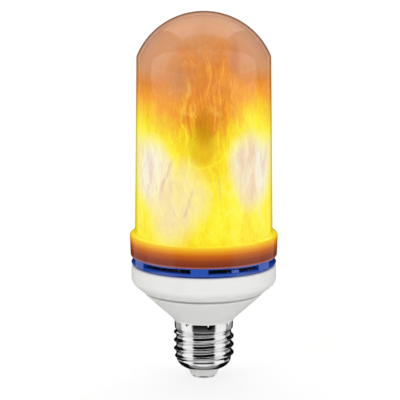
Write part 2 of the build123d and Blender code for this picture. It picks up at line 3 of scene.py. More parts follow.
from math import cos, exp, pi, radians, sin

import bpy
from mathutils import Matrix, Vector


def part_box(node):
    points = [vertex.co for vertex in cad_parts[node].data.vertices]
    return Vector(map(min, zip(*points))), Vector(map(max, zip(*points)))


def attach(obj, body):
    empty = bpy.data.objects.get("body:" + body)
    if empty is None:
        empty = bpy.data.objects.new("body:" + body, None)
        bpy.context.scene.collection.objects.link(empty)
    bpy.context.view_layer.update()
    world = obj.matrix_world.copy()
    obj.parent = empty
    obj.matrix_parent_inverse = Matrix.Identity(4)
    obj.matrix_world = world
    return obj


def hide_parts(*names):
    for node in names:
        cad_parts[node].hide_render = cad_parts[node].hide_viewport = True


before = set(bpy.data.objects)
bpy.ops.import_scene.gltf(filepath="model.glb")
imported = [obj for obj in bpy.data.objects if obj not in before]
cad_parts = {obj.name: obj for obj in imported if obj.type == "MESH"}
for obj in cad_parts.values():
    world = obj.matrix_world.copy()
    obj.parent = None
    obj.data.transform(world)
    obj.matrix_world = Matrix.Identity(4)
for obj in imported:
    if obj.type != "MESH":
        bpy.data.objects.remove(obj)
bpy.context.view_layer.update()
scene = bpy.context.scene
scene.view_settings.view_transform = "Standard"

# Camera: a very long lens some metres in front of the bulb, at -Y, and a little above
# it, so that the tube's sides stay upright and its rings show as flat ovals.
MM = 0.001
CAMERA_AIM = Vector((-1.65, 0, 78.3)) * MM
CAMERA_DISTANCE = 5.0
CAMERA_RISE = radians(12)
SENSOR_WIDTH = 36
SEEN_WIDTH = 174 * MM

camera_data = bpy.data.cameras.new("camera")
camera_data.sensor_width = SENSOR_WIDTH
camera_data.lens = SENSOR_WIDTH * CAMERA_DISTANCE / SEEN_WIDTH
camera = bpy.data.objects.new("camera", camera_data)
scene.collection.objects.link(camera)
camera_side = Vector((0, -cos(CAMERA_RISE), sin(CAMERA_RISE)))
camera.location = CAMERA_AIM + CAMERA_DISTANCE * camera_side
camera.rotation_mode = "QUATERNION"
camera.rotation_quaternion = (-camera_side).to_track_quat("-Z", "Y")
scene.camera = camera


# Floor: a plain white table that keeps a soft shadow. The camera sees most of its
# white as it is, whatever the light.
def new_material(name):
    """A node material, its node tree and its Principled shader."""
    made = bpy.data.materials.new(name)
    made.use_nodes = True
    return made, made.node_tree, made.node_tree.nodes["Principled BSDF"]


def feed(tree, socket, value):
    """A socket's value, from another socket, a number or a colour."""
    if isinstance(value, bpy.types.NodeSocket):
        tree.links.new(value, socket)
    elif isinstance(value, (int, float)):
        socket.default_value = value
    else:
        socket.default_value = (*value, 1) if len(socket.default_value) == 4 else value


def calculate(tree, operation, *values):
    """A math node fed by sockets or numbers."""
    node = tree.nodes.new("ShaderNodeMath")
    node.operation = operation
    for socket, value in zip(node.inputs, values):
        feed(tree, socket, value)
    return node.outputs[0]


def grey(level):
    """A grey of one level."""
    return level, level, level


def mesh_piece(name, points, faces, material):
    """A smooth mesh object from points and faces, in one material."""
    mesh = bpy.data.meshes.new(name)
    mesh.from_pydata(points, [], faces)
    mesh.materials.append(material)
    mesh.shade_smooth()
    piece = bpy.data.objects.new(name, mesh)
    scene.collection.objects.link(piece)
    return piece


FLOOR_REACH = 12.0
FLOOR_LEVEL = 0.9
FLOOR_ROUGHNESS = 0.9
FLOOR_WHITE_SHARE = 0.75
FLOOR_CORNERS = ((-1, -1), (1, -1), (1, 1), (-1, 1))

floor_paint, tree, shader = new_material("floor_paint")
feed(tree, shader.inputs["Base Color"], grey(FLOOR_LEVEL))
shader.inputs["Roughness"].default_value = FLOOR_ROUGHNESS
shader.inputs["Specular IOR Level"].default_value = 0.0
camera_ray = tree.nodes.new("ShaderNodeLightPath").outputs["Is Camera Ray"]
plain_white = tree.nodes.new("ShaderNodeEmission")
floor_mix = tree.nodes.new("ShaderNodeMixShader")
feed(tree, floor_mix.inputs[0], calculate(tree, "MULTIPLY", camera_ray, FLOOR_WHITE_SHARE))
feed(tree, floor_mix.inputs[1], shader.outputs["BSDF"])
feed(tree, floor_mix.inputs[2], plain_white.outputs["Emission"])
feed(tree, tree.nodes["Material Output"].inputs["Surface"], floor_mix.outputs["Shader"])

floor_points = [(x * FLOOR_REACH, y * FLOOR_REACH, 0) for x, y in FLOOR_CORNERS]
floor = mesh_piece("floor", floor_points, [(0, 1, 2, 3)], floor_paint)
floor.visible_glossy = False


# Studio room: pale all round, for soft light on the plastics. What is polished sees
# dark walls with white panels at the sides, a floor pale only in front, a ceiling pale
# only behind, and a panel over the bulb that the dome shows as a pale lens.
def ramp(tree, value, *stops):
    """A colour ramp from (position, colour or grey level) stops."""
    node = tree.nodes.new("ShaderNodeValToRGB")
    elements = node.color_ramp.elements
    elements.remove(elements[-1])
    for i, (position, colour) in enumerate(stops):
        element = elements[0] if i == 0 else elements.new(position)
        element.position = position
        element.color = (*colour, 1) if isinstance(colour, tuple) else (*grey(colour), 1)
    feed(tree, node.inputs["Fac"], value)
    return node.outputs["Color"]


def mixed(tree, share, first, second, kind="MIX"):
    """A colour mix of two sockets or colours by a share."""
    node = tree.nodes.new("ShaderNodeMix")
    node.data_type = "RGBA"
    node.blend_type = kind
    # A mix node has its two colours in sockets 6 and 7, and their mix in socket 2.
    feed(tree, node.inputs[0], share)
    feed(tree, node.inputs[6], first)
    feed(tree, node.inputs[7], second)
    return node.outputs[2]


def split(tree, vector):
    """The X, Y and Z of a vector."""
    node = tree.nodes.new("ShaderNodeSeparateXYZ")
    feed(tree, node.inputs[0], vector)
    return node.outputs["X"], node.outputs["Y"], node.outputs["Z"]


def length_of(tree, one, other):
    """Length of two components."""
    squares = calculate(tree, "MULTIPLY_ADD", one, one, calculate(tree, "MULTIPLY", other, other))
    return calculate(tree, "SQRT", squares)


def scaled(tree, value, low, high, smooth=True):
    """A value mapped from low..high to 0..1."""
    node = tree.nodes.new("ShaderNodeMapRange")
    node.interpolation_type = "SMOOTHSTEP" if smooth else "LINEAR"
    feed(tree, node.inputs["Value"], value)
    node.inputs["From Min"].default_value = low
    node.inputs["From Max"].default_value = high
    return node.outputs["Result"]


def product(tree, *values):
    """All values multiplied."""
    total = values[0]
    for value in values[1:]:
        total = calculate(tree, "MULTIPLY", total, value)
    return total


def added(tree, share, weight, total):
    """A total plus a weighted share."""
    return calculate(tree, "MULTIPLY_ADD", share, weight, total)


ROOM_LEVEL = 0.42
DARK_LEVEL = 0.004
CORNER_LEVEL = 0.4
PANEL_MIDDLE = 2.0
PANEL_SIDES = 8.0
PANEL_FOOT = 0.36
PANEL_FOOT_EDGE = 0.02
PANEL_FRONT = 0.12
PANEL_HALF_WIDTH = 0.46
PANEL_SPREAD = 0.32
PANEL_EDGE = 0.006
WHITE = (1.0, 1.0, 1.0)

room = bpy.data.worlds.new("studio_room")
scene.world = room
room.use_nodes = True
tree = room.node_tree
look_x, look_y, look_z = split(tree, tree.nodes.new("ShaderNodeTexCoord").outputs["Generated"])
upright = added(tree, look_z, 0.5, 0.5)
depth_share = added(tree, look_y, 0.5, 0.5)
behind = calculate(tree, "DIVIDE", look_y, length_of(tree, look_x, look_y))
front_share = added(tree, behind, -0.5, 0.5)

# The walls, by how far round to the front they stand and how high they reach.
front_wall = ramp(
    tree,
    upright,
    (0.1, 0.9),
    (0.19, 0.4),
    (0.27, 0.2),
    (0.33, 0.05),
    (0.36, 0.012),
    (0.39, 0.002),
    (0.8, 0.002),
    (0.9, 0.1),
)
back_corner = ramp(
    tree, upright, (0.3, DARK_LEVEL), (0.36, CORNER_LEVEL), (0.44, CORNER_LEVEL), (0.5, DARK_LEVEL)
)
in_corner = ramp(tree, front_share, (0.08, 0.0), (0.11, 1.0))
back_wall = mixed(tree, in_corner, grey(DARK_LEVEL), back_corner)
in_front = ramp(tree, front_share, (0.6, 0.0), (0.61, 1.0))
dark_wall = mixed(tree, in_front, back_wall, front_wall)
side_panel = ramp(
    tree, front_share, (0.37, 0.0), (0.42, 0.9), (0.6, 1.0), (0.81, 0.95), (0.865, 0.0)
)
walls = mixed(tree, 1.0, dark_wall, side_panel, "LIGHTEN")

# The floor and the ceiling, and the panel overhead, brighter to its sides.
lit_floor = ramp(tree, depth_share, (0.36, 0.9), (0.45, 0.28))
lit_ceiling = ramp(tree, depth_share, (0.46, 0.08), (0.62, 1.0))
in_floor = ramp(tree, upright, (0.04, 1.0), (0.1, 0.0))
in_ceiling = ramp(tree, upright, (0.88, 0.0), (0.93, 1.0))
room_sides = mixed(tree, in_ceiling, mixed(tree, in_floor, walls, lit_floor), lit_ceiling)
beside = calculate(tree, "ABSOLUTE", look_x)
panel_width = calculate(tree, "MULTIPLY", look_z, PANEL_HALF_WIDTH)
panel_reach = added(tree, look_y, PANEL_SPREAD, panel_width)
in_width = scaled(tree, calculate(tree, "SUBTRACT", panel_reach, beside), -PANEL_EDGE, PANEL_EDGE)
in_depth = scaled(tree, added(tree, look_z, -PANEL_FRONT, look_y), -PANEL_EDGE, PANEL_EDGE)
over_horizon = scaled(tree, look_z, PANEL_FOOT - PANEL_FOOT_EDGE, PANEL_FOOT + PANEL_FOOT_EDGE)
in_panel = product(tree, in_width, in_depth, over_horizon)
panel_light = product(tree, look_z, look_z, added(tree, beside, PANEL_SIDES, PANEL_MIDDLE))
polished_view = mixed(tree, in_panel, room_sides, panel_light)

light_path = tree.nodes.new("ShaderNodeLightPath").outputs
room_view = mixed(tree, light_path["Is Glossy Ray"], grey(ROOM_LEVEL), polished_view)
clear_view = calculate(
    tree, "MAXIMUM", light_path["Is Camera Ray"], light_path["Is Transmission Ray"]
)
feed(tree, tree.nodes["Background"].inputs["Color"], mixed(tree, clear_view, room_view, WHITE))


# Lamps: a large soft key from the upper left, a weaker fill from the right and a wide
# panel overhead, behind the bulb. Polished surfaces see the room instead of them.
def soft_lamp(name, place, aim, width, depth, power):
    """A flat soft lamp turned towards a point."""
    lamp = bpy.data.lights.new(name, "AREA")
    lamp.shape = "RECTANGLE"
    lamp.size = width
    lamp.size_y = depth
    lamp.energy = power
    holder = bpy.data.objects.new(name, lamp)
    scene.collection.objects.link(holder)
    holder.location = place
    holder.visible_glossy = False
    holder.rotation_mode = "QUATERNION"
    holder.rotation_quaternion = (Vector(aim) - Vector(place)).to_track_quat("-Z", "Y")


BULB_MIDDLE = (0, 0, 0.07)
soft_lamp("key_lamp", (-0.8, -0.9, 0.85), BULB_MIDDLE, width=0.8, depth=0.8, power=7.0)
soft_lamp("fill_lamp", (0.9, -0.8, 0.6), BULB_MIDDLE, width=0.8, depth=0.8, power=5.0)
soft_lamp("top_panel", (0, 0.62, 0.86), (0, 0.62, 0), width=1.1, depth=1.2, power=9.0)


# Centre contact: a flat plated button riveted through the insulator, spun smooth and
# rubbed by the holder's spring.
FLOAT, COLOUR, VECTOR = "NodeSocketFloat", "NodeSocketColor", "NodeSocketVector"


def node_group(name, inputs, outputs):
    """A shader node group with (name, kind) inputs and outputs."""
    made = bpy.data.node_groups.new(name, "ShaderNodeTree")
    for label, kind in inputs:
        made.interface.new_socket(label, in_out="INPUT", socket_type=kind)
    for label, kind in outputs:
        made.interface.new_socket(label, in_out="OUTPUT", socket_type=kind)
    given = made.nodes.new("NodeGroupInput").outputs
    result = made.nodes.new("NodeGroupOutput").inputs
    return made, given, result


def noise(tree, vector, scale, detail=4.0, roughness=0.55, distortion=0.0):
    """A noise texture's value."""
    node = tree.nodes.new("ShaderNodeTexNoise")
    feed(tree, node.inputs["Vector"], vector)
    feed(tree, node.inputs["Scale"], scale)
    node.inputs["Detail"].default_value = detail
    node.inputs["Roughness"].default_value = roughness
    node.inputs["Distortion"].default_value = distortion
    return node.outputs["Fac"]


def stretched(tree, vector, scale, shift=(0, 0, 0)):
    """A position scaled along its axes and shifted."""
    node = tree.nodes.new("ShaderNodeMapping")
    feed(tree, node.inputs["Vector"], vector)
    node.inputs["Scale"].default_value = scale
    node.inputs["Location"].default_value = shift
    return node.outputs["Vector"]


CLOUDS_PER_M = 350
SPECKS_PER_M = 4200
TURNING_PER_M = (500, 500, 9000)

plating, given, result = node_group(
    "plating",
    [
        ("Position", VECTOR),
        ("Metal", COLOUR),
        ("Tarnish", COLOUR),
        ("Tarnish Share", FLOAT),
        ("Polish", FLOAT),
        ("Wear", FLOAT),
    ],
    [("Colour", COLOUR), ("Roughness", FLOAT), ("Height", FLOAT)],
)
clouds = noise(plating, given["Position"], CLOUDS_PER_M, detail=5, roughness=0.6)
cloud_mask = ramp(plating, clouds, (0.42, 0.0), (0.72, 1.0))
turned = stretched(plating, given["Position"], TURNING_PER_M)
turning = noise(plating, turned, 1.0, detail=3, roughness=0.6)
speck_noise = noise(plating, given["Position"], SPECKS_PER_M, detail=2, roughness=0.5)
specks = ramp(plating, speck_noise, (0.66, 0.0), (0.74, 1.0))
stain = calculate(plating, "MULTIPLY", cloud_mask, given["Tarnish Share"])
feed(plating, result["Colour"], mixed(plating, stain, given["Metal"], given["Tarnish"]))
worn = added(plating, turning, given["Wear"], given["Polish"])
dulled = added(plating, stain, 0.2, worn)
feed(plating, result["Roughness"], added(plating, specks, 0.08, dulled))
feed(plating, result["Height"], added(plating, clouds, 0.6, turning))


def surface_of(tree, group, **values):
    """A node group in a material, fed with the object's position and its own values."""
    node = tree.nodes.new("ShaderNodeGroup")
    node.node_tree = group
    feed(tree, node.inputs["Position"], tree.nodes.new("ShaderNodeTexCoord").outputs["Object"])
    for label, value in values.items():
        feed(tree, node.inputs[label.replace("_", " ").title()], value)
    return node.outputs


def bump(tree, shader, height, relief):
    """A height that raises the shader's normal."""
    node = tree.nodes.new("ShaderNodeBump")
    node.inputs["Distance"].default_value = relief
    feed(tree, node.inputs["Height"], height)
    feed(tree, shader.inputs["Normal"], node.outputs["Normal"])


def plated_metal(name, relief, **values):
    """A plated metal by its colours, polish and wear."""
    made, tree, shader = new_material(name)
    surface = surface_of(tree, plating, **values)
    feed(tree, shader.inputs["Base Color"], surface["Colour"])
    feed(tree, shader.inputs["Roughness"], surface["Roughness"])
    shader.inputs["Metallic"].default_value = 1.0
    bump(tree, shader, surface["Height"], relief)
    return made


def dress(material, *nodes):
    """The material on CAD nodes' own meshes."""
    for node in nodes:
        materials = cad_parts[node].data.materials
        materials.clear()
        materials.append(material)


contact_metal = plated_metal(
    "contact_metal",
    relief=0.02 * MM,
    metal=(0.72, 0.71, 0.69),
    tarnish=(0.38, 0.35, 0.3),
    tarnish_share=0.5,
    polish=0.22,
    wear=0.2,
)
dress(contact_metal, "centre_contact")

# Cap insulator: a pale tapered moulding through the cap's mouth, pressed from a hard
# milky compound with a dull skin.
FLOW_MARKS_PER_M = 60

moulding, given, result = node_group(
    "moulding",
    [
        ("Position", VECTOR),
        ("Plastic", COLOUR),
        ("Shade", COLOUR),
        ("Gloss", FLOAT),
        ("Grain", FLOAT),
    ],
    [("Colour", COLOUR), ("Roughness", FLOAT), ("Height", FLOAT)],
)
flow_noise = noise(
    moulding, given["Position"], FLOW_MARKS_PER_M, detail=4, roughness=0.6, distortion=0.4
)
flow_marks = ramp(moulding, flow_noise, (0.35, 0.0), (0.7, 1.0))
grain = noise(moulding, given["Position"], given["Grain"], detail=3)
tone = added(moulding, grain, 0.3, calculate(moulding, "MULTIPLY", flow_marks, 0.7))
feed(moulding, result["Colour"], mixed(moulding, tone, given["Plastic"], given["Shade"]))
dullness = added(moulding, grain, 0.12, given["Gloss"])
feed(moulding, result["Roughness"], added(moulding, flow_marks, 0.06, dullness))
feed(moulding, result["Height"], grain)


def moulded_plastic(name, relief, coat=0.0, **values):
    """A moulded plastic by its colours, gloss and grain."""
    made, tree, shader = new_material(name)
    surface = surface_of(tree, moulding, **values)
    feed(tree, shader.inputs["Base Color"], surface["Colour"])
    feed(tree, shader.inputs["Roughness"], surface["Roughness"])
    shader.inputs["Coat Weight"].default_value = coat
    bump(tree, shader, surface["Height"], relief)
    return made


insulator_white = moulded_plastic(
    "insulator_white",
    relief=0.02 * MM,
    plastic=(0.9, 0.9, 0.89),
    shade=(0.8, 0.8, 0.78),
    gloss=0.35,
    grain=2500.0,
)
dress(insulator_white, "cap_insulator")

# Screw shell: thin sheet drawn to a cup, rolled to the round thread, nickel plated
# bright and staked to the neck by punch marks round its rim.
THREAD_PITCH = 3.629 * MM
THREAD_DEPTH = 1.1 * MM
THREAD_LENGTH = 13.3 * MM
THREAD_START = radians(58)
THREAD_RUN_IN = (0.3 * MM, 2.2 * MM)
THREAD_RUN_OUT = (-1.2 * MM, 0.4 * MM)
CREST_NARROWING = 2.2
SHELL_SHEET = 0.4 * MM
SHELL_MOUTH = 7.3 * MM
SHELL_LIP = 8.3 * MM
SHELL_SHOULDER = 3.4 * MM
SHELL_BULGE = 0.35 * MM
SHELL_FLARE = 0.9 * MM
NECK_DEPTH = 0.25 * MM
COLLAR_RADIUS = 12.8 * MM
COLLAR_TUCK = 0.18 * MM
STAKES = 8
STAKE_FIRST = radians(-79)
STAKE_WIDTH = 0.6 * MM
STAKE_HEIGHT = 1.1 * MM
STAKE_DEPTH = 0.45 * MM
SHELL_SIDES = 320
LIP_ROWS = 4
SHOULDER_ROWS = 16
THREAD_ROWS = 120
FLARE_ROWS = 10
COLLAR_ROWS = 18

shell_low, shell_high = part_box("screw_shell")
root_radius = shell_high.x - THREAD_DEPTH
neck_radius = root_radius - NECK_DEPTH
thread_foot = shell_low.z + SHELL_SHOULDER
thread_head = thread_foot + THREAD_LENGTH
collar_foot = thread_head + SHELL_FLARE
collar_height = shell_high.z - collar_foot


def eased(value, low, high):
    """0 below low, 1 above high, smooth between."""
    share = min(max((value - low) / (high - low), 0), 1)
    return share * share * (3 - 2 * share)


def thread_rise(level, turn):
    """How far the rolled thread stands over the neck at a level and a direction."""
    fade = eased(level, thread_foot + THREAD_RUN_IN[0], thread_foot + THREAD_RUN_IN[1])
    fade *= 1 - eased(level, thread_head + THREAD_RUN_OUT[0], thread_head + THREAD_RUN_OUT[1])
    phase = turn - THREAD_START - 2 * pi * (level - thread_foot) / THREAD_PITCH
    crest = (0.5 + 0.5 * cos(phase)) ** CREST_NARROWING
    return fade * (NECK_DEPTH + THREAD_DEPTH * crest)


def stake_dent(level, turn):
    """Depth of the punch marks at a level and a direction."""
    step = 2 * pi / STAKES
    beside = ((turn - STAKE_FIRST + step / 2) % step - step / 2) * COLLAR_RADIUS / STAKE_WIDTH
    below = (shell_high.z - level) / STAKE_HEIGHT
    return STAKE_DEPTH * exp(-(beside**2) - below**2)


def shell_section():
    """(radius, level) along the plain outside of the shell, from its mouth up to its rim."""
    lip_width = SHELL_LIP - SHELL_MOUTH
    rows = [(SHELL_MOUTH + lip_width * i / LIP_ROWS, shell_low.z) for i in range(LIP_ROWS)]
    for i in range(SHOULDER_ROWS):
        share = i / SHOULDER_ROWS
        bulge = SHELL_BULGE * sin(pi * share)
        radius = SHELL_LIP + (neck_radius - SHELL_LIP) * share
        rows.append((radius + bulge, shell_low.z + SHELL_SHOULDER * share - bulge))
    for i in range(THREAD_ROWS):
        rows.append((neck_radius, thread_foot + THREAD_LENGTH * i / THREAD_ROWS))
    for i in range(FLARE_ROWS):
        share = i / FLARE_ROWS
        flare = neck_radius + (COLLAR_RADIUS - COLLAR_TUCK - neck_radius) * eased(share, 0, 1)
        rows.append((flare, thread_head + SHELL_FLARE * share))
    for i in range(COLLAR_ROWS + 1):
        share = i / COLLAR_ROWS
        radius = COLLAR_RADIUS - COLLAR_TUCK * (1 - share) ** 2
        rows.append((radius, collar_foot + collar_height * share))
    return rows


inner_foot = shell_low.z + SHELL_SHEET
section = shell_section()
outside = [(radius, level, 0) for radius, level in section]
inside = [(radius, max(level, inner_foot), SHELL_SHEET) for radius, level in reversed(section)]
shell_points, shell_faces = [], []
for radius, level, inset in outside + inside:
    for side in range(SHELL_SIDES):
        turn = 2 * pi * side / SHELL_SIDES
        reach = radius - inset + thread_rise(level, turn) - stake_dent(level, turn)
        shell_points.append((reach * cos(turn), reach * sin(turn), level))
shell_rings = len(shell_points) // SHELL_SIDES
for ring in range(shell_rings):
    low, high = ring * SHELL_SIDES, (ring + 1) % shell_rings * SHELL_SIDES
    for side in range(SHELL_SIDES):
        after = (side + 1) % SHELL_SIDES
        shell_faces.append((low + side, low + after, high + after, high + side))

cap_nickel = plated_metal(
    "cap_nickel",
    relief=0.006 * MM,
    metal=(0.88, 0.88, 0.88),
    tarnish=(0.62, 0.61, 0.59),
    tarnish_share=0.25,
    polish=0.02,
    wear=0.05,
)
rolled_shell = mesh_piece("rolled_shell", shell_points, shell_faces, cap_nickel)
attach(rolled_shell, "root")
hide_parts("screw_shell")

# Lower and upper housing: the cone that carries the cap and the bowl over it, moulded
# in white plastic with a finely grained skin.
white_plastic = moulded_plastic(
    "white_plastic",
    relief=0.015 * MM,
    plastic=(0.84, 0.84, 0.83),
    shade=(0.79, 0.79, 0.77),
    gloss=0.3,
    grain=2600.0,
)
dress(white_plastic, "lower_housing", "upper_housing")

# Vent ring: glossy blue plastic with long air slots, pushed in between the bowl and
# the diffuser.
blue_plastic = moulded_plastic(
    "blue_plastic",
    relief=0.008 * MM,
    coat=1.0,
    plastic=(0.012, 0.09, 0.52),
    shade=(0.009, 0.065, 0.42),
    gloss=0.2,
    grain=1800.0,
)
dress(blue_plastic, "vent_ring")

# Base plate and screws: a white plate on the ring and the bowl's posts, held by three
# zinc-plated screws.
INNER_FINISH = {
    "relief": 0.02 * MM,
    "plastic": (0.8, 0.79, 0.76),
    "shade": (0.7, 0.69, 0.65),
    "gloss": 0.45,
    "grain": 2400.0,
}

inner_plastic = moulded_plastic("inner_plastic", **INNER_FINISH)
dress(inner_plastic, "base_plate")
screw_steel = plated_metal(
    "screw_steel",
    relief=0.02 * MM,
    metal=(0.55, 0.55, 0.56),
    tarnish=(0.3, 0.28, 0.26),
    tarnish_share=0.4,
    polish=0.25,
    wear=0.2,
)
dress(screw_steel, "plate_screws")


# Driver board: a green glass board that stands upright in two grooves in the neck, with
# printed tracks under its mask.
BAND_WAVINESS = 2.0


def wave(tree, vector, scale, direction):
    """Slightly wavy parallel bands from 0 to 1 along an axis."""
    node = tree.nodes.new("ShaderNodeTexWave")
    node.bands_direction = direction
    feed(tree, node.inputs["Vector"], vector)
    node.inputs["Scale"].default_value = scale
    node.inputs["Distortion"].default_value = BAND_WAVINESS
    return node.outputs["Fac"]


BOARD_RELIEF = 0.05 * MM
WEAVE_PER_M = 3000

tracks, given, result = node_group(
    "tracks",
    [("Position", VECTOR), ("Mask", COLOUR), ("Copper", COLOUR), ("Spacing", FLOAT)],
    [("Colour", COLOUR), ("Height", FLOAT)],
)
spaced = tracks.nodes.new("ShaderNodeVectorMath")
spaced.operation = "SCALE"
feed(tracks, spaced.inputs[0], given["Position"])
feed(tracks, spaced.inputs["Scale"], given["Spacing"])
place = spaced.outputs[0]
lanes = ramp(tracks, wave(tracks, place, 1.0, "X"), (0.6, 0.0), (0.68, 1.0))
run_noise = noise(tracks, place, 0.6, detail=0, roughness=0.5)
runs = ramp(tracks, run_noise, (0.48, 0.0), (0.5, 1.0))
printed = calculate(tracks, "MULTIPLY", lanes, runs)
weave = noise(tracks, given["Position"], WEAVE_PER_M, detail=2)
feed(tracks, result["Colour"], mixed(tracks, printed, given["Mask"], given["Copper"]))
feed(tracks, result["Height"], added(tracks, weave, 0.2, printed))


def printed_board(name, roughness, **values):
    """A masked circuit board by its mask and track colours."""
    made, tree, shader = new_material(name)
    surface = surface_of(tree, tracks, **values)
    feed(tree, shader.inputs["Base Color"], surface["Colour"])
    shader.inputs["Roughness"].default_value = roughness
    bump(tree, shader, surface["Height"], BOARD_RELIEF)
    return made


circuit_board = printed_board(
    "circuit_board",
    roughness=0.4,
    mask=(0.03, 0.17, 0.06),
    copper=(0.06, 0.28, 0.1),
    spacing=220.0,
)
dress(circuit_board, "driver_board")

# Board components: moulded chips, a shrink-sleeved capacitor, a film capacitor in its
# yellow box, a wound ferrite choke and a lacquered resistor, all soldered flat.
capacitor_sleeve = moulded_plastic(
    "capacitor_sleeve",
    relief=0.02 * MM,
    plastic=(0.035, 0.035, 0.045),
    shade=(0.02, 0.02, 0.03),
    gloss=0.25,
    grain=900.0,
)
dress(capacitor_sleeve, "bulk_capacitor")
# Its own yellow, darkened as painted shade for the dim inside of the ring seen through the slots.
film_yellow = moulded_plastic(
    "film_yellow",
    relief=0.02 * MM,
    plastic=(0.52, 0.36, 0.05),
    shade=(0.42, 0.28, 0.03),
    gloss=0.3,
    grain=1600.0,
)
dress(film_yellow, "filter_capacitor")
ferrite = moulded_plastic(
    "ferrite",
    relief=0.05 * MM,
    plastic=(0.07, 0.07, 0.08),
    shade=(0.035, 0.035, 0.04),
    gloss=0.55,
    grain=3200.0,
)
dress(ferrite, "choke_core")
chip_black = moulded_plastic(
    "chip_black",
    relief=0.02 * MM,
    plastic=(0.022, 0.022, 0.022),
    shade=(0.035, 0.035, 0.035),
    gloss=0.5,
    grain=3000.0,
)
dress(chip_black, "bridge_rectifier", "driver_chip", "flame_controller")
resistor_green = moulded_plastic(
    "resistor_green",
    relief=0.03 * MM,
    plastic=(0.22, 0.4, 0.33),
    shade=(0.15, 0.3, 0.25),
    gloss=0.4,
    grain=1500.0,
)
dress(resistor_green, "fusible_resistor")

# Choke winding: enamelled copper wire, wound turn beside turn on the ferrite bobbin, with a
# painted highlight on the crown of each turn and painted shade between them.
WIRE_TURNS_PER_M = 320.0
WIRE_RELIEF = 0.1 * MM
ENAMEL_PER_M = 1500

copper_wire, tree, shader = new_material("copper_wire")
position = tree.nodes.new("ShaderNodeTexCoord").outputs["Object"]
turn_relief_and_shade = wave(tree, position, WIRE_TURNS_PER_M, "Z")
# The bands paint shade between the turns and a highlight on their crowns into the base colour.
feed(tree, shader.inputs["Base Color"], mixed(tree, turn_relief_and_shade, (0.3, 0.12, 0.05), (0.72, 0.36, 0.17)))
feed(tree, shader.inputs["Roughness"], added(tree, noise(tree, position, ENAMEL_PER_M), 0.2, 0.2))
shader.inputs["Metallic"].default_value = 0.9
bump(tree, shader, turn_relief_and_shade, WIRE_RELIEF)
dress(copper_wire, "choke_winding")

# Leads: thin stranded wire in soft insulation, red and black, from the cap to the
# board and from the board up to the LED board.
lead_red = moulded_plastic(
    "lead_red",
    relief=0.02 * MM,
    plastic=(0.55, 0.03, 0.025),
    shade=(0.42, 0.02, 0.02),
    gloss=0.3,
    grain=1200.0,
)
dress(lead_red, "live_lead", "led_lead_positive")
lead_black = moulded_plastic(
    "lead_black",
    relief=0.02 * MM,
    plastic=(0.022, 0.022, 0.022),
    shade=(0.035, 0.035, 0.035),
    gloss=0.3,
    grain=1200.0,
)
dress(lead_black, "neutral_lead", "led_lead_negative")


# LED board: a thin white printed board rolled round the former, the light of its own rows of
# LEDs painted on as its glow. Their flame, worked out here, runs from yellow-white at the foot
# to amber at the top.
def seen(red, green, blue):
    """A colour as it shows on a screen, 0 to 255, as linear light."""
    return tuple(((share / 255 + 0.055) / 1.055) ** 2.4 for share in (red, green, blue))


def by_level(tree, level, *stops):
    """A value that runs through (level, value) stops."""
    low, high = stops[0][0], stops[-1][0]
    share = scaled(tree, level, low, high, smooth=False)
    return ramp(tree, share, *[((at - low) / (high - low), value) for at, value in stops])


def between(tree, value, low, high, edge):
    """1 between low and high, fading to 0 over an edge each side."""
    over_low = scaled(tree, value, low - edge, low + edge)
    return calculate(tree, "MULTIPLY", over_low, scaled(tree, value, high + edge, high - edge))


def soft_patch(tree, spot, middle, reach, fade):
    """An oval patch: 0 from the first distance, 1 within the second, its rim at distance 1."""
    one = calculate(tree, "DIVIDE", calculate(tree, "SUBTRACT", spot[0], middle[0]), reach[0])
    other = calculate(tree, "DIVIDE", calculate(tree, "SUBTRACT", spot[1], middle[1]), reach[1])
    return scaled(tree, length_of(tree, one, other), *fade)


def drawn_out(tree, vector, scale, shift, detail, roughness=0.55, distortion=0.0):
    """A noise with its own scale along each axis."""
    place = stretched(tree, vector, scale, shift)
    return noise(tree, place, 1.0, detail, roughness, distortion)


def ridges(tree, vector, scale, shift, width):
    """Thin lines that wander through a noise where it passes its middle."""
    waves = drawn_out(tree, vector, scale, shift, detail=3, distortion=0.9)
    middle = calculate(tree, "SUBTRACT", waves, 0.5)
    return scaled(tree, calculate(tree, "ABSOLUTE", middle), width, 0.0)


def wander(tree, vector, value, scale, shift, reach):
    """A value led astray by a noise, up to about half the reach each way."""
    astray = drawn_out(tree, vector, scale, shift, detail=2)
    return added(tree, calculate(tree, "SUBTRACT", astray, 0.5), reach, value)


def drifting(tree, vector, scale, reach):
    """A position led astray by a noise, so that what is drawn on it flows."""
    node = tree.nodes.new("ShaderNodeTexNoise")
    feed(tree, node.inputs["Vector"], vector)
    node.inputs["Scale"].default_value = scale
    node.inputs["Detail"].default_value = 1.0
    astray = tree.nodes.new("ShaderNodeVectorMath")
    astray.operation = "MULTIPLY_ADD"
    feed(tree, astray.inputs[0], node.outputs["Color"])
    feed(tree, astray.inputs[1], (reach, reach, reach))
    feed(tree, astray.inputs[2], vector)
    return astray.outputs["Vector"]


LINE_FADE = 1.5


def filament(tree, along, aside, thickness, *points):
    """A thin line through (along, aside) points, fading at both ends."""
    low, high = points[0][0], points[-1][0]
    least = min(reach for at, reach in points)
    span = max(reach for at, reach in points) - least
    node = tree.nodes.new("ShaderNodeFloatCurve")
    curve = node.mapping.curves[0]
    spots = [((at - low) / (high - low), (reach - least) / span) for at, reach in points]
    curve.points[0].location = spots[0]
    curve.points[1].location = spots[-1]
    for spot in spots[1:-1]:
        curve.points.new(*spot)
    node.mapping.update()
    feed(tree, node.inputs["Value"], scaled(tree, along, low, high, smooth=False))
    line = added(tree, node.outputs["Value"], span, least)
    apart = calculate(tree, "ABSOLUTE", calculate(tree, "SUBTRACT", aside, line))
    length = between(tree, along, low + LINE_FADE, high - LINE_FADE, LINE_FADE)
    return product(tree, scaled(tree, apart, thickness, 0.0), length)


def painted(tree, under, colour, *shares):
    """A colour laid over another by its shares, multiplied."""
    return mixed(tree, product(tree, *shares), under, colour)


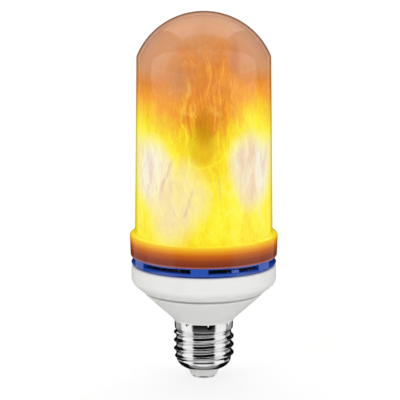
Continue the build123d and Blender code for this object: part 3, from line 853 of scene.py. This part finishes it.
# The flame is laid out in millimetres to the right and up, on places that a noise leads a
# little astray, the near ones, or further, the loose ones.
MM_PER_M = (1000, 1000, 1000)
FLAME_REACH = 30.0
FLOW_SCALE = 75.0
FLOW_REACH = 8 * MM

flame, given, result = node_group(
    "flame",
    [("Position", VECTOR)],
    [("Colour", COLOUR), ("Painted Glow", COLOUR), ("Inner", COLOUR), ("Cover", FLOAT), ("Dome", FLOAT)],
)
position = given["Position"]
flow = drifting(flame, position, FLOW_SCALE, FLOW_REACH)
plain_x, plain_y, plain_z = split(flame, stretched(flame, position, MM_PER_M))
across = wander(flame, position, plain_x, scale=(45, 45, 30), shift=(0, 0, 0), reach=13.0)
level = wander(flame, position, plain_z, scale=(40, 40, 22), shift=(3, 5, 1), reach=11.0)
near_x = wander(flame, position, plain_x, scale=(150, 150, 70), shift=(4, 1, 6), reach=2.4)
near_z = wander(flame, position, plain_z, scale=(150, 150, 70), shift=(8, 3, 2), reach=2.4)
near_spot = (near_x, near_z)
loose_spot = (across, level)
aside = calculate(flame, "DIVIDE", calculate(flame, "ABSOLUTE", across), FLAME_REACH)
above_body = scaled(flame, level, 112, 126)

# Heat of the flame up its middle and up its sides.
middle_heat = by_level(
    flame,
    level,
    (64, 0.66),
    (72, 0.7),
    (80, 0.73),
    (90, 0.67),
    (98, 0.6),
    (106, 0.54),
    (114, 0.48),
    (122, 0.43),
    (132, 0.4),
    (142, 0.34),
    (150, 0.23),
    (161, 0.1),
)
side_heat = by_level(
    flame,
    level,
    (64, 0.66),
    (74, 0.69),
    (90, 0.76),
    (104, 0.78),
    (109, 0.73),
    (113, 0.65),
    (118, 0.57),
    (124, 0.47),
    (132, 0.32),
    (141, 0.14),
    (150, 0.04),
    (162, 0.0),
)
low_share = scaled(flame, aside, 0.3, 0.75)
high_share = scaled(flame, aside, 0.3, 0.85)
side_share = split(flame, mixed(flame, above_body, low_share, high_share))[0]
heat = split(flame, mixed(flame, side_share, middle_heat, side_heat))[0]

# Tongues: strands that waver up through the plume, fibres between them, and finer
# threads all round.
strands = ridges(flame, flow, scale=(150, 150, 26), shift=(0, 0, 0), width=0.05)
threads = ridges(flame, flow, scale=(330, 330, 80), shift=(7, 2, 4), width=0.07)
fibres = drawn_out(flame, flow, (560, 560, 22), (6, 1, 8), detail=3, roughness=0.6, distortion=0.3)
plume = product(flame, scaled(flame, aside, 0.6, 0.2), between(flame, level, 108, 150, 8))
plume_strands = product(flame, strands, plume)
bright_fibres = product(flame, scaled(flame, fibres, 0.5, 0.75), plume)
dark_fibres = product(flame, scaled(flame, fibres, 0.5, 0.28), plume)
heat = added(flame, plume_strands, 0.09, heat)
heat = added(flame, bright_fibres, 0.09, heat)
heat = added(flame, threads, 0.045, heat)

# Warmer places: high on the right, and on both sides of the dark drop.
right_heat = soft_patch(flame, near_spot, middle=(20, 125), reach=(13, 22), fade=(1.1, 0.2))
left_glow = soft_patch(flame, near_spot, middle=(-11, 107), reach=(8, 12), fade=(1.1, 0.2))
right_glow = soft_patch(flame, near_spot, middle=(9, 110), reach=(9, 15), fade=(1.1, 0.2))
heat = added(flame, right_heat, 0.11, heat)
heat = added(flame, calculate(flame, "MAXIMUM", left_glow, right_glow), 0.07, heat)

# Billows and a fine flicker that break up the heat everywhere.
billow = drawn_out(flame, position, (90, 90, 40), (1, 8, 3), detail=6, roughness=0.65)
flicker = drawn_out(flame, position, (420, 420, 130), (5, 4, 7), detail=2, roughness=0.6)
heat = added(flame, calculate(flame, "SUBTRACT", billow, 0.5), 0.32, heat)
heat = added(flame, calculate(flame, "SUBTRACT", flicker, 0.5), 0.09, heat)
uneven = scaled(flame, billow, 0.3, 0.65)

# Long bright lines that part the tongues: a thickness each, then the points it passes,
# (level, to the right) for those that rise and (to the right, level) for those that cross.
RISING_LINES = (
    (0.7, (123, 5.1), (132, 4.3), (138, 2.5), (146, 0.3)),
    (0.6, (120, 1.2), (128, 0.8), (137, -1), (147, -3)),
    (0.6, (126, -2.7), (134, -4), (143, -5.5)),
    (0.6, (124, 7.3), (132, 6.9), (141, 4.7)),
    (0.7, (128, 11.2), (134, 9.4), (140, 9)),
    (0.8, (124, 13.4), (131, 12), (137, 13.4), (143, 12.6)),
    (0.7, (86, -8), (95, -7), (100, -6.2), (111, -7), (119, -7.5)),
    (0.8, (88, 17), (95, 17), (100, 19), (104, 19), (114, 15.6), (126, 13.4)),
    (0.7, (95, 17.5), (97, 15), (102, 13.4), (109, 15.2)),
)
CROSSING_LINES = (
    (0.7, (-18, 123), (-16.6, 127.5), (-14, 131.4), (-10.5, 132.7), (-7, 130)),
    (0.7, (-8, 103), (-3.6, 99), (0, 98.8), (4.3, 100), (8.2, 103), (11.7, 112)),
)
lines = [filament(flame, near_z, near_x, *line) for line in RISING_LINES]
lines += [filament(flame, near_x, near_z, *line) for line in CROSSING_LINES]
bright_lines = lines[0]
for line in lines[1:]:
    bright_lines = calculate(flame, "MAXIMUM", bright_lines, line)
fading = product(flame, uneven, scaled(flame, level, 158, 118))
bright_lines = product(flame, bright_lines, fading)
heat = added(flame, bright_lines, 0.1, heat)

flame_colour = ramp(
    flame,
    heat,
    (0.0, seen(208, 162, 134)),
    (0.2, seen(212, 150, 102)),
    (0.34, seen(216, 132, 50)),
    (0.45, seen(240, 154, 42)),
    (0.56, seen(245, 192, 40)),
    (0.68, seen(250, 234, 44)),
    (0.78, seen(252, 246, 74)),
    (0.88, seen(251, 241, 160)),
    (1.0, seen(252, 247, 216)),
)

# Darker fibres between the strands, and pale gold on the lines and strands of the plume.
DARK_AMBER = seen(206, 112, 36)
PALE_GOLD = seen(244, 190, 116)
shades = ridges(flame, flow, scale=(170, 170, 30), shift=(2, 9, 5), width=0.06)
dark_lines = calculate(flame, "MAXIMUM", dark_fibres, product(flame, shades, plume))
flame_colour = painted(flame, flame_colour, DARK_AMBER, dark_lines, 0.6)
gold_lines = calculate(flame, "MAXIMUM", bright_lines, product(flame, plume_strands, 0.45))
flame_colour = painted(flame, flame_colour, PALE_GOLD, gold_lines, above_body, 0.62)

# A dark drop in the middle of the flame, darkest at its top.
DROP_YELLOW = seen(216, 180, 24)
DROP_BROWN = seen(190, 124, 6)
drop = soft_patch(flame, near_spot, middle=(-1, 108), reach=(7, 10.5), fade=(1.1, 0.5))
drop_core = soft_patch(flame, near_spot, middle=(0, 117), reach=(5, 10), fade=(1.2, 0.2))
flame_colour = painted(flame, flame_colour, DROP_YELLOW, drop, 0.55)
flame_colour = painted(flame, flame_colour, DROP_BROWN, drop_core, 0.7)

# A mauve shade left of the plume and a red one right of it, near the top.
MAUVE = seen(192, 130, 86)
RUSSET = seen(196, 120, 86)
left_shade = soft_patch(flame, near_spot, middle=(-10.5, 137.5), reach=(7.5, 12), fade=(1.1, 0.1))
right_shade = soft_patch(flame, near_spot, middle=(13.5, 145.5), reach=(2.6, 8), fade=(1.1, 0.3))
flame_colour = painted(flame, flame_colour, MAUVE, left_shade, 0.75)
flame_colour = painted(flame, flame_colour, RUSSET, right_shade, 0.6)

# Two white-hot patches near the sides, a cream haze on the lower left, soft lilac smoke
# in both, and a rosy band up the right patch.
WHITE_HOT = seen(247, 240, 226)
CREAM = seen(251, 234, 176)
LILAC_SMOKE = seen(230, 198, 188)
ROSE = seen(235, 190, 122)
hot_left = soft_patch(flame, loose_spot, middle=(-22.3, 94.5), reach=(7.6, 17.5), fade=(1.15, 0.35))
hot_right = soft_patch(flame, loose_spot, middle=(21.4, 96.5), reach=(10.2, 17.5), fade=(1.15, 0.35))
hot = calculate(flame, "MAXIMUM", hot_left, hot_right)
flame_colour = painted(flame, flame_colour, WHITE_HOT, hot, 0.92)
haze = soft_patch(flame, loose_spot, middle=(-11.5, 82.5), reach=(14, 20), fade=(1.2, 0.4))
flame_colour = painted(flame, flame_colour, CREAM, haze, 0.7)
smoke_noise = drawn_out(
    flame, position, (130, 130, 36), (2, 6, 9), detail=4, roughness=0.6, distortion=1.0
)
smoke_place = calculate(flame, "MAXIMUM", hot, product(flame, haze, 0.6))
smoke = scaled(flame, smoke_noise, 0.42, 0.7)
flame_colour = painted(flame, flame_colour, LILAC_SMOKE, smoke, smoke_place, 0.6)
rosy_band = soft_patch(flame, near_spot, middle=(19, 96), reach=(5, 24), fade=(1.15, 0.3))
rosy_share = added(flame, scaled(flame, smoke_noise, 0.35, 0.65), 0.3, 0.25)
flame_colour = painted(flame, flame_colour, ROSE, rosy_band, rosy_share)

# Lilac streaks that slant up through the smoke, and pale gleams beside them, given as the
# rising lines are.
LILAC = seen(206, 164, 146)
PALE_YELLOW = seen(253, 247, 190)
LILAC_STREAKS = (
    (1.3, (80, -20.5), (86, -19), (91, -17.5), (97, -15.3), (103, -13)),
    (1.2, (75, -9), (82, -6.8), (90, -4)),
    (0.9, (83, 7), (88, 6.8), (96, 6.2)),
)
PALE_GLEAMS = (
    (0.9, (74, -16.2), (83, -19.7), (95, -23)),
    (0.9, (77, -11.8), (88, -13.6), (99.6, -11.8)),
    (0.9, (73, -14.4), (82, -10), (94.6, -7)),
    (0.9, (79, -18), (90, -20), (99, -18.8)),
    (0.9, (73, 25.6), (79, 23.8), (88, 25.6)),
    (0.9, (86, 17), (95, 17), (100, 19), (104, 19), (114, 15.6)),
    (0.8, (95, 17.5), (97, 15), (102, 13.4), (110, 15.2)),
)
broken = scaled(flame, smoke_noise, 0.3, 0.6)
for line in LILAC_STREAKS:
    streak = filament(flame, near_z, near_x, *line)
    flame_colour = painted(flame, flame_colour, LILAC, streak, broken, 0.4)
for line in PALE_GLEAMS:
    gleam = filament(flame, near_z, near_x, *line)
    flame_colour = painted(flame, flame_colour, PALE_YELLOW, gleam, uneven, 0.45)

# Fine wisps, pale ones near the foot and mauve ones in the haze.
PALE_WISP = seen(252, 240, 170)
MAUVE_VEIN = seen(214, 180, 164)
wisps = ridges(flame, flow, scale=(170, 170, 34), shift=(9, 4, 2), width=0.07)
wisp_place = product(flame, between(flame, level, 68, 94, 8), uneven, 0.22)
flame_colour = painted(flame, flame_colour, PALE_WISP, wisps, wisp_place)
veins = ridges(flame, flow, scale=(230, 230, 46), shift=(3, 7, 1), width=0.07)
flame_colour = painted(flame, flame_colour, MAUVE_VEIN, veins, smoke_place, 0.3)

# The skirt, below the lowest row of LEDs, falls off from amber to brown, with a thin pale painted
# highlight along its foot.
SKIRT_TOP = 63.8
SKIRT_EDGE = 0.4
skirt_glow_and_highlight = by_level(
    flame,
    plain_z,
    (54.5, seen(178, 110, 100)),
    (55.3, seen(122, 52, 32)),
    (57.5, seen(146, 66, 34)),
    (60.0, seen(196, 100, 26)),
    (62.0, seen(234, 156, 34)),
    (64.0, seen(248, 214, 42)),
)
over_skirt = scaled(flame, plain_z, SKIRT_TOP - SKIRT_EDGE, SKIRT_TOP + SKIRT_EDGE)
lit = mixed(flame, over_skirt, skirt_glow_and_highlight, flame_colour)

# What the flame gives: its colour, that colour dimmed as painted glow in the wall's base
# colour, the paler light painted as glow on the outer faces of the inner tube and lid, how
# far the wall covers them, and where the dome begins.
PAINTED_GLOW_DIMMING = 0.26
INNER_LIGHT = (1.0, 0.93, 0.86)
INNER_DARK = (0.0, 0.0, 0.0)
OUTER_FACE = (21.0, 21.8)
LID_FACE = (139.5, 140.3)
DOME_FOOT = (134, 146)
feed(flame, result["Colour"], lit)
feed(flame, result["Painted Glow"], mixed(flame, 1.0, lit, grey(PAINTED_GLOW_DIMMING), "MULTIPLY"))
on_tube = scaled(flame, length_of(flame, plain_x, plain_y), *OUTER_FACE)
on_lid = scaled(flame, plain_z, *LID_FACE)
on_outside = calculate(flame, "MAXIMUM", on_tube, on_lid)
inner_share = added(flame, plume, -0.6, 0.72)
inner_glow = mixed(flame, inner_share, lit, INNER_LIGHT)
feed(flame, result["Inner"], mixed(flame, on_outside, INNER_DARK, inner_glow))
cover = by_level(flame, level, (90, 0.97), (112, 0.94), (124, 0.83), (134, 0.73), (162, 0.7))
feed(flame, result["Cover"], cover)
feed(flame, result["Dome"], scaled(flame, plain_z, *DOME_FOOT))


def with_painted_glow(material, strength):
    """A material with the flame's inner light painted on as its own glow."""
    tree = material.node_tree
    shader = tree.nodes["Principled BSDF"]
    feed(tree, shader.inputs["Emission Color"], surface_of(tree, flame)["Inner"])
    shader.inputs["Emission Strength"].default_value = strength


led_board_white = printed_board(
    "led_board_white",
    roughness=0.5,
    mask=(0.82, 0.8, 0.74),
    copper=(0.72, 0.66, 0.52),
    spacing=400.0,
)
with_painted_glow(led_board_white, strength=0.95)
dress(led_board_white, "led_board")

# LEDs: small white packages with a window of yellow phosphor, soldered in rows on the
# board and lit.
PHOSPHOR_PER_M = 2200
LED_GLOW = 0.95
LED_LIGHT = (1.0, 0.9, 0.7)

led_package, tree, shader = new_material("led_package")
position = tree.nodes.new("ShaderNodeTexCoord").outputs["Object"]
phosphor = noise(tree, position, PHOSPHOR_PER_M, detail=3)
phosphor_colour = mixed(tree, phosphor, (0.9, 0.72, 0.22), (0.82, 0.6, 0.14))
feed(tree, shader.inputs["Base Color"], phosphor_colour)
feed(tree, shader.inputs["Roughness"], added(tree, phosphor, 0.3, 0.25))
glow = surface_of(tree, flame)
feed(tree, shader.inputs["Emission Color"], mixed(tree, 0.6, glow["Colour"], LED_LIGHT))
shader.inputs["Emission Strength"].default_value = LED_GLOW
dress(led_package, "leds")

# Former and its cap: the white moulded tube that the LED board is rolled round, with a
# lid on top. Both carry the LEDs' light, painted on as their own glow.
former_glow = moulded_plastic("former_glow", **INNER_FINISH)
with_painted_glow(former_glow, strength=0.85)
dress(former_glow, "led_former", "former_cap")

# Diffuser: a domed tube moulded in milky plastic with a gloss, its skirt pushed over the
# ring. It glows with the flame's colours, and upwards it clears until the inner tube shows.
WALL_GLOW = 0.76
WALL_SPECULAR = 0.2
WALL_ROUGHNESS = 0.03
DENSE_LIMB = (0.6, 0.8)

lit_diffuser, tree, shader = new_material("lit_diffuser")
glow = surface_of(tree, flame)
# The wall's base colour is the flame's glow, dimmed: painted glow.
feed(tree, shader.inputs["Base Color"], glow["Painted Glow"])
# Painted shade at the outline: the glow turns yellower then darker towards the tube's edges as seen,
# and greyer then darker towards the dome's.
limb = tree.nodes.new("ShaderNodeLayerWeight").outputs["Facing"]
tube_edge_shade = ramp(
    tree,
    limb,
    (0.5, WHITE),
    (0.72, (1.0, 0.97, 0.5)),
    (0.79, (0.94, 0.88, 0.4)),
    (0.86, (0.6, 0.55, 0.36)),
)
dome_edge_shade = ramp(
    tree,
    limb,
    (0.42, WHITE),
    (0.6, (0.86, 0.86, 0.88)),
    (0.77, (0.76, 0.72, 0.73)),
    (0.83, (0.24, 0.21, 0.21)),
)
painted_edge_shade = mixed(tree, glow["Dome"], tube_edge_shade, dome_edge_shade)
wall_glow = mixed(tree, 1.0, glow["Colour"], painted_edge_shade, "MULTIPLY")
feed(tree, shader.inputs["Emission Color"], wall_glow)
shader.inputs["Emission Strength"].default_value = WALL_GLOW
shader.inputs["Specular IOR Level"].default_value = WALL_SPECULAR
shader.inputs["Roughness"].default_value = WALL_ROUGHNESS
dense_limb = scaled(tree, limb, *DENSE_LIMB)
feed(tree, shader.inputs["Alpha"], calculate(tree, "MAXIMUM", glow["Cover"], dense_limb))
dress(lit_diffuser, "diffuser")

bpy.context.view_layer.update()
